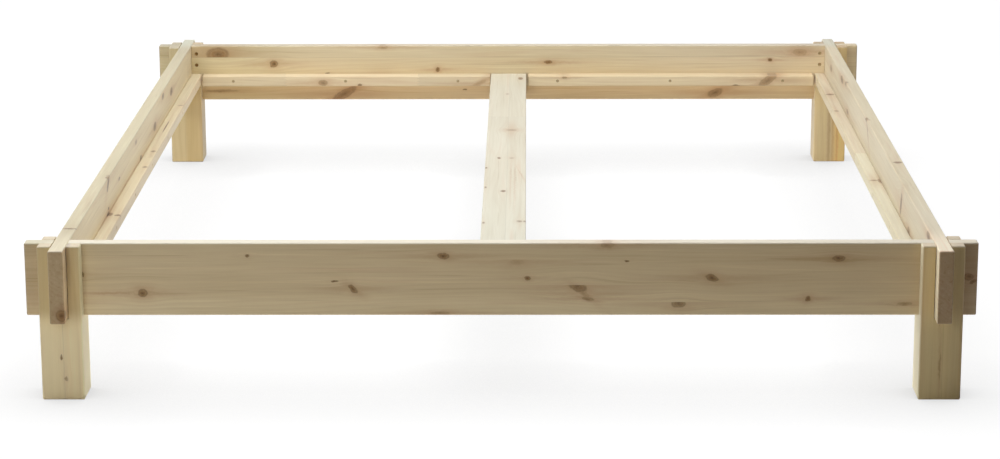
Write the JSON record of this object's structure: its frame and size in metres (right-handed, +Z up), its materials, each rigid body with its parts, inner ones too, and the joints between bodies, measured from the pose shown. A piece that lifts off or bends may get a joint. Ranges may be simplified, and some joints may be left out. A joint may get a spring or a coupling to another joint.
{
  "type": "bed frame",
  "caption": "Low double bed frame in solid pine: square legs with crossing slots, half-lapped rails, slat cleats round the inside and a centre beam that lifts out.",
  "frame": {"origin": "on the floor, in the middle of the frame between the four legs", "axes": "+X to the right seen from the foot end, +Y from the foot end to the head end, +Z up"},
  "size_m": [1.784, 2.194, 0.298],
  "materials": {
    "rail_pine": "sanded, clear oiled pine",
    "leg_pine": "sanded, clear oiled pine",
    "cleat_pine": "planed pine",
    "beam_pine": "planed pale pine",
    "screw_steel": "zinc plated"
  },
  "bodies": {
    "frame": {"foot_left_leg": "leg_pine", "foot_right_leg": "leg_pine", "head_left_leg": "leg_pine", "head_right_leg": "leg_pine", "foot_rail": "rail_pine", "head_rail": "rail_pine", "left_rail": "rail_pine", "right_rail": "rail_pine", "left_cleat": "cleat_pine", "right_cleat": "cleat_pine", "foot_left_cleat": "cleat_pine", "foot_right_cleat": "cleat_pine", "head_left_cleat": "cleat_pine", "head_right_cleat": "cleat_pine", "foot_beam_seat": "cleat_pine", "head_beam_seat": "cleat_pine", "foot_left_corner_screw_upper": "screw_steel", "foot_left_corner_screw_lower": "screw_steel", "foot_right_corner_screw_upper": "screw_steel", "foot_right_corner_screw_lower": "screw_steel", "head_left_corner_screw_upper": "screw_steel", "head_left_corner_screw_lower": "screw_steel", "head_right_corner_screw_upper": "screw_steel", "head_right_corner_screw_lower": "screw_steel", "left_cleat_screw_1": "screw_steel", "left_cleat_screw_2": "screw_steel", "left_cleat_screw_3": "screw_steel", "left_cleat_screw_4": "screw_steel", "left_cleat_screw_5": "screw_steel", "left_cleat_screw_6": "screw_steel", "left_cleat_screw_7": "screw_steel", "right_cleat_screw_1": "screw_steel", "right_cleat_screw_2": "screw_steel", "right_cleat_screw_3": "screw_steel", "right_cleat_screw_4": "screw_steel", "right_cleat_screw_5": "screw_steel", "right_cleat_screw_6": "screw_steel", "right_cleat_screw_7": "screw_steel", "foot_left_cleat_screw_1": "screw_steel", "foot_left_cleat_screw_2": "screw_steel", "foot_left_cleat_screw_3": "screw_steel", "foot_right_cleat_screw_1": "screw_steel", "foot_right_cleat_screw_2": "screw_steel", "foot_right_cleat_screw_3": "screw_steel", "head_left_cleat_screw_1": "screw_steel", "head_left_cleat_screw_2": "screw_steel", "head_left_cleat_screw_3": "screw_steel", "head_right_cleat_screw_1": "screw_steel", "head_right_cleat_screw_2": "screw_steel", "head_right_cleat_screw_3": "screw_steel", "foot_seat_screw_left": "screw_steel", "foot_seat_screw_right": "screw_steel", "head_seat_screw_left": "screw_steel", "head_seat_screw_right": "screw_steel"},
    "beam": {"centre_beam": "beam_pine", "support_leg": "leg_pine", "support_stud": "screw_steel"}
  },
  "joints": [
    {"name": "beam_lift", "type": "slide", "parent": "frame", "child": "beam", "axis": [0, 0, 1], "range_m": [0, 0.32]}
  ]
}
